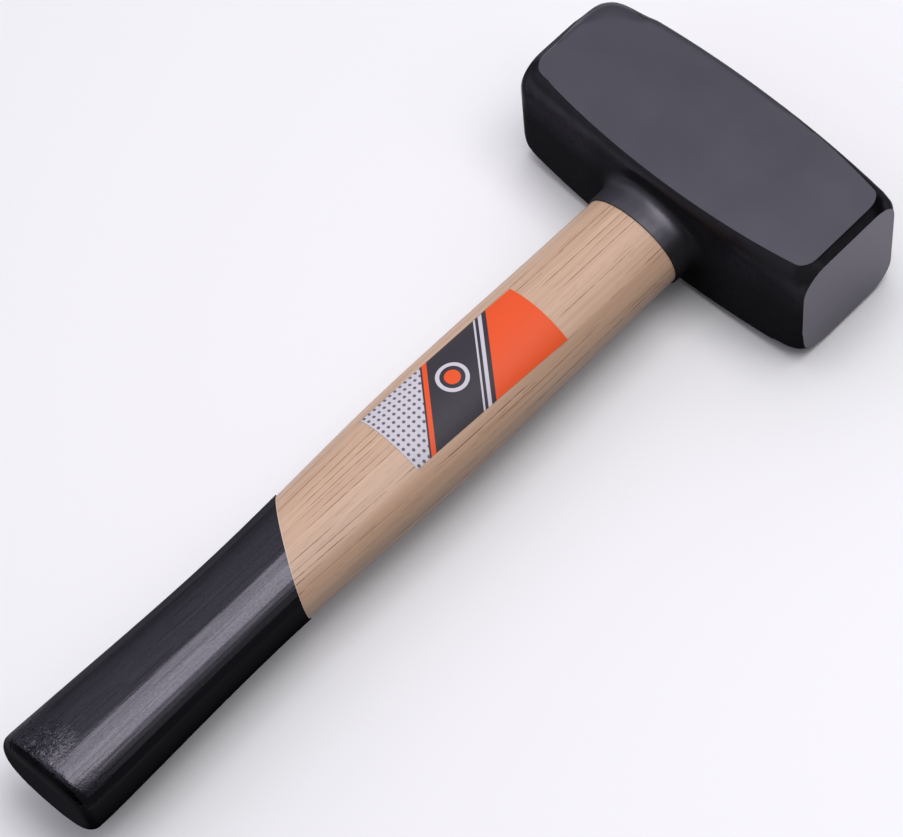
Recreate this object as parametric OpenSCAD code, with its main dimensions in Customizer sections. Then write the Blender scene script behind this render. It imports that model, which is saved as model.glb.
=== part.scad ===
// Lump hammer: a forged steel head, wedged onto an oval wooden handle.
// Millimetres. The hammer lies on one cheek with +Z up. X runs along the head from
// face to face, and Y runs along the handle with the butt at -Y.
// The origin is the middle of the lower cheek, right under the middle of the eye.

/* [Head] */
// Length from striking face to striking face
head_l = 110; // [90:1:130]
// Thickness between the two ground cheeks
head_t = 45; // [42:0.5:52]
// Depth along the handle at the middle of the head
head_d = 45.3; // [42:0.1:52]
// How far each long side has fallen back at the striking faces
barrel_drop = 1.9; // [0.5:0.1:4]
// Steel that grinding takes off each forged cheek
grind_cheek = 1.6; // [0.8:0.1:2.4]
// Corner radius of the forging at the middle of the head
edge_r_mid = 5.5; // [4:0.5:9]
// Corner radius of the forging next to the striking faces
edge_r_end = 10; // [7:0.5:13]
// Length along the head of the bevel between a cheek and a striking face
cheek_bevel = 2.7; // [1.5:0.1:5]
// How far that bevel draws the striking face in from the cheek
cheek_inset = 2; // [1:0.1:4]
// Length along the head of the bevel between a long side and a striking face
side_bevel = 1.9; // [1:0.1:3]
// How far that bevel draws the striking face in from the long side
side_inset = 1.3; // [0.6:0.1:2.5]
// Corner radius of the striking face
face_r = 8.5; // [5:0.5:10]

/* [Collar and eye] */
// Distance from the middle of the head to the rim of the collar
collar_y = 31.5; // [28:0.5:38]
// Wall of the collar at its rim
collar_wall = 0.6; // [0.4:0.1:2]
// Radius of the hollow flare from the collar into the head
collar_flare = 4; // [2:0.5:9]
// Distance from the middle of the head to the waist of the eye
eye_waist_y = 6; // [0:0.5:12]
// Width of the eye at its waist
eye_waist_w = 31; // [28:0.5:33]
// Thickness of the eye at its waist
eye_waist_t = 23.4; // [21:0.2:25]
// Width of the eye at the top of the head
eye_top_w = 32.8; // [31.2:0.2:35]
// Thickness of the eye at the top of the head
eye_top_t = 25.4; // [23.6:0.2:27]

/* [Handle] */
// Distance from the middle of the head to the butt
butt_y = 265.4; // [240:0.1:300]
// Width of the handle at the collar
neck_w = 34; // [33.2:0.1:37]
// Thickness of the handle at the collar
neck_t = 25.8; // [25:0.1:28]
// Distance from the middle of the head to the middle swell
swell_y = 112; // [90:1:130]
// Width of the middle swell
swell_w = 35.5; // [33:0.1:39]
// Thickness of the middle swell
swell_t = 26.6; // [25:0.1:30]
// Distance from the middle of the head to the waist
waist_y = 190; // [165:1:205]
// Width of the waist
waist_w = 31.3; // [29:0.1:35]
// Thickness of the waist
waist_t = 23.2; // [22:0.1:27]
// Width of the butt
butt_w = 35.2; // [33:0.1:40]
// Thickness of the butt
butt_t = 25.7; // [24:0.1:31]
// Power of the oval at the butt: 2 is an ellipse, and more is squarer
butt_power = 2.3; // [2:0.1:3]
// Rounding of the edge of the butt
butt_r = 3.4; // [1:0.1:5]
// How far the handle stands out of the top of the head
proud = 1.2; // [0.5:0.1:3]
// Bevel round the top end of the handle
top_bevel = 0.6; // [0.2:0.1:1.2]

/* [Wedges] */
// Depth of the saw kerf below the top of the handle
kerf_depth = 34; // [26:1:38]
// Thickness of the wooden wedge at the top of the handle
wedge_top_t = 4.4; // [3:0.1:6]
// Thickness of the wooden wedge at the foot of the kerf
wedge_foot_t = 1; // [0.6:0.1:2]
// Distance between the middles of the two steel wedges
steel_pitch = 14; // [10:0.5:18]
// Width of a steel wedge across the wooden one
steel_w = 15; // [10:0.5:17]
// Length of a steel wedge
steel_l = 23; // [16:1:28]
// Thickness of a steel wedge at its head
steel_t = 3; // [2:0.1:4]
// Thickness of a steel wedge at its tip
steel_tip_t = 0.8; // [0.5:0.1:1.2]
// Number of barbs on each flank of a steel wedge
barb_n = 3; // [2:1:5]
// Height of one barb
barb_h = 0.35; // [0.1:0.05:0.5]
// How far the steel wedges are driven below the end of the handle
steel_sunk = 0.4; // [0:0.1:1]

/* [Grip coat] */
// Thickness of the lacquer on the grip
coat_t = 0.35; // [0.2:0.05:0.8]
// Distance from the middle of the head to the edge of the coat, on the axis
coat_y = 170.3; // [150:0.1:200]
// Slant of the edge of the coat, seen from above
coat_slant = 33; // [0:1:40]
// Tilt of the edge of the coat, seen from the side
coat_tilt = 9; // [0:1:25]

/* [Label] */
// Thickness of the label film
label_t = 0.15; // [0.1:0.05:0.3]
// Length of the label along the handle
label_l = 59; // [40:1:64]
// Width of the label, seen from above
label_w = 23; // [15:0.5:27]
// Distance from the middle of the head to the middle of the label
label_y = 101; // [95:1:105]
// How far the middle of the label sits off the axis
label_off = 0.2; // [-2:0.1:2]
// Turn of the label on the handle
label_turn = 1.7; // [-4:0.1:4]

/* [Hidden] */

// Number of sides of the oval sections
oval_n = 40;
// Number of steps round one corner of the forging
corner_n = 7;
// Number of sections along the straight run of the forging
forge_n = 22;
// Number of sections along the handle below the collar, and inside the eye
shaft_n = 33;
eye_n = 10;
// Number of steps of the rounded butt and of the collar's flare
butt_n = 5;
flare_n = 8;
// Overlap of cutting shapes beyond the faces they cut
over = 2;

// Height of the handle's axis, and places along that axis
axis_z = head_t/2;
top_y = head_d/2;
end_y = top_y + proud;
shaft_from = butt_y - butt_r;
shaft_step = (shaft_from - collar_y)/shaft_n;

// Smooth step from 0 to 1, level at its start and with the given slope at its end
function ease(u, slope = 0) = 3*u*u - 2*u*u*u + slope*(u*u*u - u*u);
function blend(a, b, u, slope = 0) = a + (b - a)*ease(u, slope);

// Half width and half thickness of the shaft at a distance below the middle of the head
butt_slope = 0.6;
neck = [neck_w, neck_t]/2;
swell = [swell_w, swell_t]/2;
waist = [waist_w, waist_t]/2;
butt = [butt_w, butt_t]/2;
function shaft_half(d) =
    d < swell_y ? blend(neck, swell, (d - collar_y)/(swell_y - collar_y))
    : d < waist_y ? blend(swell, waist, (d - swell_y)/(waist_y - swell_y))
    : blend(waist, butt, (d - waist_y)/(butt_y - waist_y), butt_slope);

// Power of the oval there: an ellipse at the collar, squarer towards the butt
function shaft_power(d) = 2 + (butt_power - 2)*(d - collar_y)/(butt_y - collar_y);

// Half width and half thickness of the eye, from the rim of the collar to the top
eye_waist = [eye_waist_w, eye_waist_t]/2;
eye_top = [eye_top_w, eye_top_t]/2;
function eye_half(y) =
    y < -eye_waist_y ? blend(neck, eye_waist, (y + collar_y)/(collar_y - eye_waist_y))
    : blend(eye_waist, eye_top, (y + eye_waist_y)/(top_y + eye_waist_y));

// One oval ring square to the handle, from its half sizes and its power
function rounded(v, power) = sign(v)*pow(abs(v), 2/power);
function oval(half, y, power = 2) =
    [for (i = [0:oval_n - 1])
        let (t = 360*i/oval_n)
        [half[0]*rounded(sin(t), power), y, half[1]*rounded(cos(t), power)]];

// Rings of the rounded butt and of the shaft up to the collar, grown outwards by a coat
function butt_rings(grow) =
    [for (i = [0:butt_n])
        let (t = 90*i/butt_n, r = butt_r + grow, d = butt_y - butt_r*(1 - cos(t)), in = r*(1 - sin(t)))
        oval(shaft_half(d) + [grow - in, grow - in], -butt_y - grow + r*(1 - cos(t)), shaft_power(d))];
function shaft_rings(grow, from, to) =
    [for (i = [1:shaft_n])
        let (d = shaft_from - i*shaft_step)
        if (d < from && d > to - shaft_step/2)
        oval(shaft_half(d) + [grow, grow], -d, shaft_power(d))];

// Rings of the eye from just above the collar's rim to the top of the head,
// and those of the tenon that fills it and stands out with a bevelled end
eye_rings = [for (i = [1:eye_n]) let (y = -collar_y + i*(top_y + collar_y)/eye_n) oval(eye_half(y), y)];
tenon_rings = concat(
    eye_rings,
    [oval(eye_top, end_y - top_bevel), oval(eye_top - [top_bevel, top_bevel], end_y)]);

// Skin through rings that run counter-clockwise, seen from the last ring
module loft(rings) {
    n = len(rings[0]);
    m = len(rings);
    sides = [for (k = [0:m - 2], i = [0:n - 1])
        let (j = (i + 1)%n, a = k*n + i, b = k*n + j, c = b + n, d = a + n)
        each [[a, d, c], [a, c, b]]];
    start_cap = [for (i = [0:n - 1]) i];
    end_cap = [for (i = [0:n - 1]) m*n - 1 - i];
    polyhedron([for (r = rings) each r], concat([start_cap], sides, [end_cap]));
}

// Half depth, half thickness and corner radius of the forging at a place along the head
bevel_slope = cheek_inset/cheek_bevel;
bevel_l = (cheek_inset + grind_cheek)/bevel_slope;
bevel_x = head_l/2 - bevel_l;
side_x = head_l/2 - side_bevel;
function past(x, limit) = max(0, abs(x) - limit);
function half_depth(x) =
    head_d/2 - barrel_drop*pow(2*x/head_l, 2) - past(x, side_x)*side_inset/side_bevel;
function half_thick(x) = head_t/2 + grind_cheek - past(x, bevel_x)*bevel_slope;
function corner_r(x) =
    edge_r_mid + (edge_r_end - edge_r_mid)*pow(min(abs(x), bevel_x)/bevel_x, 2)
    + (face_r - edge_r_end)*past(x, bevel_x)/bevel_l;

// One section of the forging: a rectangle with four round corners
function forging_ring(x) =
    let (w = half_depth(x), h = half_thick(x), r = corner_r(x))
    [for (q = [0:3], i = [0:corner_n])
        let (t = 90*(q + i/corner_n), sy = (q == 0 || q == 3) ? 1 : -1, sz = q < 2 ? 1 : -1)
        [x, sy*(w - r) + r*cos(t), sz*(h - r) + r*sin(t)]];

// Places along the head: the even run, then the bevels up to and past the striking faces
side_first = side_x > bevel_x ? [side_x] : [];
end_xs = concat(side_first, [head_l/2 + over/2]);
forging_xs = concat(
    [for (i = [len(end_xs) - 1:-1:0]) -end_xs[i]],
    [for (i = [0:forge_n]) bevel_x*(2*i/forge_n - 1)],
    end_xs);

// The barrel-shaped forging, ground flat on both cheeks and both striking faces
module ground_forging() {
    intersection() {
        loft([for (x = forging_xs) forging_ring(x)]);
        cube([head_l, 2*head_d, head_t], center = true);
    }
}

// The collar: a thin straight sleeve that flares in a hollow curve into the underside of the head
flare_turn = 60;
flare_z = 0.75;
module collar() {
    reach = collar_y - head_d/2;
    turn = min(flare_turn, asin(min(1, reach/collar_flare)));
    straight = reach - collar_flare*sin(turn);
    rim = neck + [collar_wall, collar_wall];
    first = straight > 0 ? [oval(rim, -collar_y)] : [];
    flared = [for (i = [0:flare_n])
        let (t = turn*i/flare_n, grow = collar_flare*(1 - cos(t)))
        oval(rim + [grow, grow*flare_z], -collar_y + straight + collar_flare*sin(t))];
    last = collar_flare*(1 - cos(turn));
    loft(concat(first, flared, [oval(rim + [last, last*flare_z], -head_d/2 + barrel_drop + over)]));
}

// The eye, cut a little beyond the collar's rim and the top of the head
module eye() {
    loft(concat(
        [oval(neck, -collar_y - over), oval(neck, -collar_y)],
        eye_rings,
        [oval(eye_top, top_y + over)]));
}

// The handle before its kerf and wedge slots are cut
module handle_blank() {
    loft(concat(butt_rings(0), shaft_rings(0, shaft_from, collar_y), tenon_rings));
}

// Everything inside the tapering saw kerf, along the eye
module kerf() {
    rise = (wedge_top_t - wedge_foot_t)/kerf_depth/2;
    high = wedge_top_t/2 + rise*over;
    low = wedge_foot_t/2;
    rotate([90, 0, 90])
        linear_extrude(height = max(neck_w, eye_top_w) + over, center = true)
            polygon([[end_y + over, -high], [end_y + over, high],
                     [end_y - kerf_depth, low], [end_y - kerf_depth, -low]]);
}

// Outline of a barbed steel wedge with its tip at zero, made longer at the head by more
function flank(s) = (steel_tip_t + (steel_t - steel_tip_t)*s/steel_l)/2;
module wedge_outline(more) {
    step = steel_l/(barb_n + 1);
    barbs = [for (i = [1:barb_n]) each [[flank(i*step), i*step], [flank(i*step) - barb_h, i*step]]];
    right = concat([[flank(0), 0]], barbs, [[flank(steel_l), steel_l + more]]);
    left = [for (i = [len(right) - 1:-1:0]) [-right[i][0], right[i][1]]];
    polygon(concat(right, left));
}

// Both steel wedges, or the slots that they have driven
module steel_pair(more) {
    for (side = [-1, 1])
        translate([side*steel_pitch/2, end_y - steel_sunk - steel_l, 0])
            linear_extrude(height = steel_w, center = true) wedge_outline(more);
}

// All that lies on the butt side of the slanted edge of the coat
module below_coat_edge() {
    size = 2*butt_y;
    translate([0, -coat_y, 0])
        rotate([coat_tilt, 0, -coat_slant])
            translate([-size/2, -size, -size/2]) cube(size);
}

module head() {
    color("#4a4850")
        translate([0, 0, axis_z])
            difference() {
                union() {
                    ground_forging();
                    collar();
                }
                eye();
            }
}

module handle() {
    color("#cfab8f")
        translate([0, 0, axis_z])
            difference() {
                handle_blank();
                kerf();
                steel_pair(over);
            }
}

module wood_wedge() {
    color("#b98d63")
        translate([0, 0, axis_z])
            difference() {
                intersection() {
                    loft(tenon_rings);
                    kerf();
                }
                steel_pair(over);
            }
}

module steel_wedges() {
    color("#8d9096")
        translate([0, 0, axis_z]) steel_pair(0);
}

module grip_coat() {
    reach = (tan(coat_slant)*butt_w + tan(coat_tilt)*butt_t)/2 + 2*shaft_step;
    upper = max(coat_y - reach, collar_y);
    color("#201f23")
        translate([0, 0, axis_z])
            intersection() {
                difference() {
                    loft(concat(butt_rings(coat_t), shaft_rings(coat_t, shaft_from, upper)));
                    loft(concat(butt_rings(0), shaft_rings(0, shaft_from, upper)));
                }
                below_coat_edge();
            }
}

module label() {
    reach = label_l/2 + label_w*abs(sin(label_turn)) + shaft_step;
    color("#ea5b27")
        translate([0, 0, axis_z])
            intersection() {
                difference() {
                    loft(shaft_rings(label_t, label_y + reach, label_y - reach));
                    loft(shaft_rings(0, label_y + reach, label_y - reach));
                }
                translate([label_off, -label_y, 0])
                    rotate([0, 0, -label_turn])
                        translate([-label_w/2, -label_l/2, 0]) cube([label_w, label_l, swell_t]);
            }
}

head();
handle();
wood_wedge();
steel_wedges();
grip_coat();
label();
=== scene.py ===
"""Lump hammer: finished meshes, finishes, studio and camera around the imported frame."""
import logging
import math
from abc import ABC, abstractmethod
from dataclasses import dataclass, field
from enum import Enum
from typing import Any, Callable, ClassVar, Optional, Sequence, Union

import bmesh
import bpy
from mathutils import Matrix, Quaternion, Vector


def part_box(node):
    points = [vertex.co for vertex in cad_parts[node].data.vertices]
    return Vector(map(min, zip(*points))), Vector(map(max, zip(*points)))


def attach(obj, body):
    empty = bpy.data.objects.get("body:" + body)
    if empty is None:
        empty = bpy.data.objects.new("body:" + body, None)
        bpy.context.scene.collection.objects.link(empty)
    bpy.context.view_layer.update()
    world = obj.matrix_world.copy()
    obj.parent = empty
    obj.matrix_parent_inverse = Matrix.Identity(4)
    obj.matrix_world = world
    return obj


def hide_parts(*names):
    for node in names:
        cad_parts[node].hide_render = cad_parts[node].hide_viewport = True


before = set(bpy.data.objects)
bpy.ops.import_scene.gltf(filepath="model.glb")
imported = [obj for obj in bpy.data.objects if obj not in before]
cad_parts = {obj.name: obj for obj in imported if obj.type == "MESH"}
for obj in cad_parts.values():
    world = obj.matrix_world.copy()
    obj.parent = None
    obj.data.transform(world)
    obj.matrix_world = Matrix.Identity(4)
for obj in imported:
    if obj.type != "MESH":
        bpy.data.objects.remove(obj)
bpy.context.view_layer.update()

LOG = logging.getLogger("lump_hammer")
MM = 0.001
NEAR = 0.02 * MM
BODY = "root"
Span = tuple[float, float]
Triple = tuple[float, float, float]
Colour = Triple
Socket = bpy.types.NodeSocket
BLACK: Colour = (0.0, 0.0, 0.0)


@dataclass(frozen=True)
class Ring:
    """One oval section square to the handle, in metres."""

    y: float
    half_x: float
    half_z: float


@dataclass(frozen=True)
class Axis:
    """The height of the handle's axis and the place of the collar along it, read from the frame."""

    z: float
    collar_y: float

    @classmethod
    def from_frame(cls) -> "Axis":
        """Measure the axis on the handle and the head."""
        low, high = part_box("handle")
        return cls((low.z + high.z) / 2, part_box("head")[0].y)

    def point(self, y: float) -> Triple:
        """Return the point of the axis at a place along the handle."""
        return (0.0, y, self.z)


AXIS = Axis.from_frame()


def oval_rings(nodes: Sequence[str], least: int = 20) -> list[Ring]:
    """Read the oval sections that some nodes of the frame share.

    Args:
        nodes: Names of the nodes whose vertices are read together.
        least: Fewest vertices that make a section.

    Returns:
        The sections in order, from the butt to the top of the head.
    """
    sections: dict[float, list[Vector]] = {}
    for name in nodes:
        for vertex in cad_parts[name].data.vertices:
            sections.setdefault(round(vertex.co.y, 5), []).append(vertex.co)
    rings = []
    for y, points in sorted(sections.items()):
        if len(points) >= least:
            half_x = max(abs(point.x) for point in points)
            half_z = max(abs(point.z - AXIS.z) for point in points)
            rings.append(Ring(y, half_x, half_z))
    return rings


def toned(colour: Colour, share: float) -> Colour:
    """Return a colour made darker or lighter."""
    red, green, blue = colour
    return (share * red, share * green, share * blue)


class Workpiece:
    """A mesh on the bench, shaped with edit-mode operators and applied modifiers."""

    def __init__(self, obj: bpy.types.Object) -> None:
        """Put an object on the bench."""
        self.obj = obj

    @staticmethod
    def clear_bench() -> None:
        """Leave edit mode and deselect everything."""
        if bpy.context.mode != "OBJECT":
            bpy.ops.object.mode_set(mode="OBJECT")
        bpy.ops.object.select_all(action="DESELECT")

    @classmethod
    def added(cls, name: str) -> "Workpiece":
        """Take up the primitive that was added last, with its place in its mesh.

        Args:
            name: Name of the piece.

        Returns:
            The new workpiece.
        """
        obj = bpy.context.object
        obj.name = name
        obj.data.name = name
        bpy.ops.object.transform_apply(location=True, rotation=True, scale=True)
        return cls(obj)

    @classmethod
    def copy_of(cls, source: bpy.types.Object, name: str) -> "Workpiece":
        """Copy an object's mesh and merge its loose triangles.

        Args:
            source: Object to copy.
            name: Name of the copy.

        Returns:
            The merged copy.
        """
        obj = bpy.data.objects.new(name, source.data.copy())
        obj.data.name = name
        obj.data.materials.clear()
        bpy.context.scene.collection.objects.link(obj)
        piece = cls(obj)
        piece.edit()
        bpy.ops.mesh.select_all(action="SELECT")
        bpy.ops.mesh.remove_doubles(threshold=NEAR / 10)
        piece.hold()
        if obj.data.has_custom_normals:
            bpy.ops.mesh.customdata_custom_splitnormals_clear()
        return piece

    def hold(self) -> None:
        """Leave edit mode and make this the one selected and active object."""
        self.clear_bench()
        self.obj.select_set(True)
        bpy.context.view_layer.objects.active = self.obj

    def edit(self) -> None:
        """Enter edit mode with nothing selected."""
        self.hold()
        bpy.ops.object.mode_set(mode="EDIT")
        bpy.ops.mesh.select_mode(type="VERT")
        bpy.ops.mesh.select_all(action="DESELECT")

    def pick(self, test: Callable[[Vector], bool]) -> None:
        """Select the vertices whose place passes a test.

        Args:
            test: Says of a place whether it is wanted.
        """
        bpy.ops.mesh.select_mode(type="VERT")
        bpy.ops.mesh.select_all(action="DESELECT")
        mesh = bmesh.from_edit_mesh(self.obj.data)
        for vertex in mesh.verts:
            if test(vertex.co):
                vertex.select_set(True)
        mesh.select_flush(True)
        bmesh.update_edit_mesh(self.obj.data)

    def pick_faces(self, test: Callable[[Vector, Vector], bool]) -> None:
        """Select the faces whose middle and normal pass a test.

        Args:
            test: Says of a middle and a normal whether the face is wanted.
        """
        bpy.ops.mesh.select_mode(type="FACE")
        bpy.ops.mesh.select_all(action="DESELECT")
        mesh = bmesh.from_edit_mesh(self.obj.data)
        wanted = [face for face in mesh.faces if test(face.calc_center_median(), face.normal)]
        for face in wanted:
            face.select_set(True)
        bmesh.update_edit_mesh(self.obj.data)

    def cut(self, point: Sequence[float], normal: Sequence[float], clear: bool = False,
            close: bool = False) -> None:
        """Cut all faces along a plane.

        Args:
            point: A point of the plane.
            normal: Normal of the plane.
            clear: Whether what lies beyond the plane goes.
            close: Whether the cut is closed with a flat face.
        """
        bpy.ops.mesh.select_all(action="SELECT")
        bpy.ops.mesh.bisect(
            plane_co=point, plane_no=normal, clear_outer=clear, use_fill=close, threshold=0.0001 * MM)

    def modify(self, kind: str, **settings: Any) -> None:
        """Add a modifier, set it and apply it.

        Args:
            kind: The modifier's type.
            **settings: Its settings by name.
        """
        self.hold()
        modifier = self.obj.modifiers.new(kind.lower(), kind)
        for name, setting in settings.items():
            setattr(modifier, name, setting)
        bpy.ops.object.modifier_apply(modifier=modifier.name)

    def carve(self, cutter: "Workpiece") -> None:
        """Cut this piece with another one."""
        self.modify("BOOLEAN", operation="DIFFERENCE", object=cutter.obj, solver="MANIFOLD")

    def shade(self, angle: float) -> None:
        """Shade smooth, apart from edges sharper than an angle in degrees."""
        self.hold()
        bpy.ops.object.shade_smooth_by_angle(angle=math.radians(angle))

    def discard(self) -> None:
        """Take the piece off the bench for good."""
        self.clear_bench()
        bpy.data.objects.remove(self.obj)

    def stand_for(self, node: str, slot: str, material: bpy.types.Material) -> None:
        """Put the finished piece in its node's place.

        Args:
            node: Node of the frame that the piece stands for.
            slot: The record's material slot; not used.
            material: Finish of the piece.
        """
        self.clear_bench()
        self.obj.data.materials.clear()
        self.obj.data.materials.append(material)
        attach(self.obj, BODY)
        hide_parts(node)
        LOG.info("%s stands for %s: %d faces", self.obj.name, node, len(self.obj.data.polygons))


class Value:
    """A number in a shader; sums on it add Math nodes."""

    def __init__(self, desk: "Desk", socket: Socket) -> None:
        """Wrap the output socket that holds the number."""
        self.desk = desk
        self.socket = socket

    def _sum(self, operation: str, first: "Number", second: "Number" = 0.0) -> "Value":
        """Add one Math node."""
        node = self.desk.node("Math", {"operation": operation}, {0: first, 1: second})
        return Value(self.desk, node.outputs[0])

    def __add__(self, other: "Number") -> "Value":
        """Return the sum."""
        return self._sum("ADD", self, other)

    __radd__ = __add__

    def __sub__(self, other: "Number") -> "Value":
        """Return the difference."""
        return self._sum("SUBTRACT", self, other)

    def __rsub__(self, other: "Number") -> "Value":
        """Return the difference, the other way round."""
        return self._sum("SUBTRACT", other, self)

    def __neg__(self) -> "Value":
        """Return the number with its sign turned."""
        return 0.0 - self

    def __mul__(self, other: "Number") -> "Value":
        """Return the product."""
        return self._sum("MULTIPLY", self, other)

    __rmul__ = __mul__

    def __truediv__(self, other: "Number") -> "Value":
        """Return the quotient."""
        return self._sum("DIVIDE", self, other)

    def __pow__(self, other: "Number") -> "Value":
        """Return the power."""
        return self._sum("POWER", self, other)

    def __abs__(self) -> "Value":
        """Return the size without its sign."""
        return self._sum("ABSOLUTE", self)

    def fraction(self) -> "Value":
        """Return what is left over the whole number below."""
        return self._sum("FRACT", self)

    def larger(self, other: "Number") -> "Value":
        """Return the larger of two numbers."""
        return self._sum("MAXIMUM", self, other)

    def angle(self, other: "Number") -> "Value":
        """Return the angle of a point, measured from the axis of the other number."""
        return self._sum("ARCTAN2", self, other)

    def reach(self, other: "Value") -> "Value":
        """Return how far a point is from the origin, where the other number is its second coordinate."""
        return (self * self + other * other) ** 0.5

    def rise(self, low: "Number", high: "Number") -> "Value":
        """Return a smooth step from 0 at low to 1 at high."""
        node = self.desk.node(
            "MapRange", {"interpolation_type": "SMOOTHSTEP"},
            {"Value": self, "From Min": low, "From Max": high})
        return Value(self.desk, node.outputs[0])

    def near(self, middle: "Number", half: float, soft: float) -> "Value":
        """Return 1 within half of a middle, falling to 0 over a soft edge."""
        return 1 - abs(self - middle).rise(half - soft / 2, half + soft / 2)


Number = Union[float, Value]
Input = Union[float, Sequence[float], Value, Socket]


class Desk:
    """The shader nodes of one material or of the world."""

    def __init__(self, tree: bpy.types.NodeTree) -> None:
        """Start with an empty tree."""
        self.tree = tree
        tree.nodes.clear()

    def node(self, kind: str, settings: Optional[dict[str, Any]] = None,
             sockets: Optional[dict[Union[str, int], Input]] = None) -> bpy.types.Node:
        """Add a node.

        Args:
            kind: The node's type, without its prefix.
            settings: Its settings by name, set first.
            sockets: Values or links of its inputs, by name or number.

        Returns:
            The new node.
        """
        made = self.tree.nodes.new("ShaderNode" + kind)
        for name, setting in (settings or {}).items():
            setattr(made, name, setting)
        for name, given in (sockets or {}).items():
            source = given.socket if isinstance(given, Value) else given
            if isinstance(source, Socket):
                self.tree.links.new(source, made.inputs[name])
            else:
                made.inputs[name].default_value = source
        return made

    def place_mm(self) -> Socket:
        """Return object coordinates in millimetres, measured from the handle's axis."""
        source = self.node("TexCoord").outputs["Object"]
        return self.mapped(source, (1 / MM, 1 / MM, 1 / MM), (0, 0, -AXIS.z / MM))

    def mapped(self, source: Socket, scale: Triple, shift: Triple = (0, 0, 0)) -> Socket:
        """Return a place that is scaled and then shifted."""
        sockets = {"Vector": source, "Scale": scale, "Location": shift}
        return self.node("Mapping", sockets=sockets).outputs[0]

    def parts(self, source: Socket) -> tuple[Value, Value, Value]:
        """Split a place into its three numbers."""
        node = self.node("SeparateXYZ", sockets={0: source})
        return Value(self, node.outputs[0]), Value(self, node.outputs[1]), Value(self, node.outputs[2])

    def joined(self, x: Number, y: Number, z: Number) -> Socket:
        """Join three numbers into a place."""
        return self.node("CombineXYZ", sockets={0: x, 1: y, 2: z}).outputs[0]

    def noise(self, place: Socket, scale: Triple, detail: float = 2.0, rough: float = 0.5,
              warp: float = 0.0) -> Value:
        """Return soft noise.

        Args:
            place: Where it is read.
            scale: Waves to a millimetre along X, Y and Z.
            detail: Number of finer layers.
            rough: Strength of the finer layers.
            warp: How far the waves are pulled about.

        Returns:
            A number round 0.5.
        """
        node = self.node("TexNoise", sockets={
            "Vector": self.mapped(place, scale), "Scale": 1.0,
            "Detail": detail, "Roughness": rough, "Distortion": warp})
        return Value(self, node.outputs[0])

    def scatter(self, place: Socket) -> tuple[Socket, Socket]:
        """Return the nearest of points scattered over a plane, and a colour of its own for each point."""
        node = self.node("TexVoronoi", {"voronoi_dimensions": "2D"}, {"Vector": place, "Scale": 1.0})
        return node.outputs["Position"], node.outputs["Color"]

    def blend(self, share: Number, first: Input, second: Input) -> Socket:
        """Return the blend of two colours."""
        sockets = {0: share, 6: self.full(first), 7: self.full(second)}
        return self.node("Mix", {"data_type": "RGBA"}, sockets).outputs[2]

    @staticmethod
    def full(colour: Input) -> Input:
        """Give a plain colour its fourth number."""
        return (*colour, 1.0) if isinstance(colour, tuple) else colour

    def bump(self, height: Value, depth: float, strength: float = 1.0) -> Socket:
        """Return the normal of a relief that is depth millimetres deep."""
        sockets = {"Height": height, "Distance": depth * MM, "Strength": strength}
        return self.node("Bump", sockets=sockets).outputs[0]

    def surface(self, **sockets: Input) -> Socket:
        """Add the shader of a surface.

        Args:
            **sockets: Its inputs by name, with _ for a space.

        Returns:
            The shader's output.
        """
        named = {name.replace("_", " "): self.full(given) for name, given in sockets.items()}
        renamed = {name.replace("Ior", "IOR"): given for name, given in named.items()}
        return self.node("BsdfPrincipled", sockets=renamed).outputs[0]

    def mix(self, share: Number, first: Socket, second: Socket) -> Socket:
        """Return the mix of two shaders."""
        return self.node("MixShader", sockets={0: share, 1: first, 2: second}).outputs[0]


class Finish(ABC):
    """A procedural finish: the name of its material and how its shader is wired."""

    name: ClassVar[str]

    def material(self) -> bpy.types.Material:
        """Make the material.

        Returns:
            The new material with its nodes.
        """
        material = bpy.data.materials.new(self.name)
        material.use_nodes = True
        desk = Desk(material.node_tree)
        desk.node("OutputMaterial", sockets={"Surface": self.shader(desk)})
        return material

    @abstractmethod
    def shader(self, desk: Desk) -> Socket:
        """Wire the finish on a desk and return its shader."""


@dataclass(frozen=True)
class WornEdges:
    """Where the head's rear and far edges are worn: spans in millimetres from the middle of the eye."""

    rear: Span
    rear_side: Span
    far: Span
    far_stop: Span

    def mask(self, x: Value, y: Value) -> Value:
        """Return 1 at the worn edges and 0 elsewhere."""
        rear = (-x).rise(*self.rear) * y.rise(*self.rear_side)
        return rear.larger(y.rise(*self.far) * (1 - x.rise(*self.far_stop)))


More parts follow.
